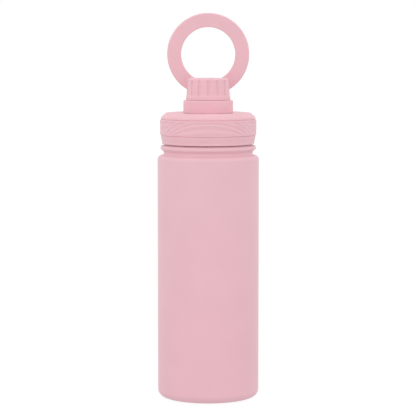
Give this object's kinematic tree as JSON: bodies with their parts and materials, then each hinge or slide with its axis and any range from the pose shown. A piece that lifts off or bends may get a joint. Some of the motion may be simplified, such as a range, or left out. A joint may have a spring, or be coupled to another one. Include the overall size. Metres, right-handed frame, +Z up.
{
  "type": "insulated shaker bottle",
  "caption": "Straight-walled double-wall steel bottle with a screw lid, fluted spout cap, swivelling collar and a tilting flat ring handle; a mixing grid clips under the lid.",
  "frame": {"origin": "centre of the foot, on the ground", "axes": "+Z up along the bottle's axis; the front faces -Y and the ring handle stands at +Y"},
  "size_m": [0.073, 0.073, 0.2772],
  "materials": {
    "powder_coat": "matt powder coat",
    "bare_steel": "electropolished stainless steel",
    "pin_steel": "ground steel",
    "pink_plastic": "fine matt moulded polypropylene",
    "pink_silicone": "soft matt silicone",
    "clear_silicone": "translucent white silicone",
    "washer_nylon": "natural nylon",
    "foam": "cellular foam",
    "magnet": "nickel plated",
    "getter": "sintered",
    "seal_bead": "fused sealing bead"
  },
  "bodies": {
    "bottle": {"outer_shell": "powder_coat", "inner_liner": "bare_steel", "base_plate": "bare_steel", "vacuum_plug": "seal_bead", "getter": "getter", "base_pad": "pink_silicone"},
    "lid_seal": {"lid_gasket": "pink_silicone"},
    "lid": {"lid_cover": "pink_plastic", "lid_core": "pink_plastic", "lid_insulation": "foam"},
    "grid": {"mixing_grid": "pink_plastic"},
    "cap_disc": {"cap_seal": "clear_silicone"},
    "cap": {"cap_shell": "pink_plastic", "cap_insert": "pink_plastic"},
    "collar": {"swivel_collar": "pink_plastic", "hinge_pin": "pin_steel", "hinge_washer_left": "washer_nylon", "hinge_washer_right": "washer_nylon"},
    "ring": {"ring_front_shell": "pink_plastic", "ring_back_cover": "pink_plastic", "ring_grip_pad": "pink_silicone", "ring_backing_plate": "bare_steel", "ring_magnet_01": "magnet", "ring_magnet_02": "magnet", "ring_magnet_03": "magnet", "ring_magnet_04": "magnet", "ring_magnet_05": "magnet", "ring_magnet_06": "magnet", "ring_magnet_07": "magnet", "ring_magnet_08": "magnet", "ring_magnet_09": "magnet", "ring_magnet_10": "magnet", "ring_magnet_11": "magnet", "ring_magnet_12": "magnet", "ring_magnet_13": "magnet", "ring_magnet_14": "magnet", "ring_magnet_15": "magnet", "ring_magnet_16": "magnet"}
  },
  "joints": [
    {"name": "lid_rise", "type": "slide", "parent": "bottle", "child": "lid_seal", "axis": [0, 0, 1], "range_m": [0, 0.024]},
    {"name": "lid_turn", "type": "hinge", "parent": "lid_seal", "child": "lid", "pos_m": [0, 0, 0.183], "axis": [0, 0, 1], "range_deg": [0, 720]},
    {"name": "grid_pull", "type": "slide", "parent": "lid", "child": "grid", "axis": [0, 0, -1], "range_m": [0, 0.012]},
    {"name": "cap_rise", "type": "slide", "parent": "lid", "child": "cap_disc", "axis": [0, 0, 1], "range_m": [0, 0.018]},
    {"name": "cap_turn", "type": "hinge", "parent": "cap_disc", "child": "cap", "pos_m": [0, 0, 0.222], "axis": [0, 0, 1], "range_deg": [0, 1080]},
    {"name": "collar_swivel", "type": "hinge", "parent": "lid", "child": "collar", "pos_m": [0, 0, 0.21], "axis": [0, 0, 1], "continuous": true},
    {"name": "ring_tilt", "type": "hinge", "parent": "collar", "child": "ring", "pos_m": [0, 0.0214, 0.211], "axis": [-1, 0, 0], "range_deg": [0, 90]}
  ],
  "couplings": [
    {"joint": "lid_turn", "follows": "lid_rise", "rad_per_m": 523.6},
    {"joint": "cap_turn", "follows": "cap_rise", "rad_per_m": 1047.2}
  ]
}
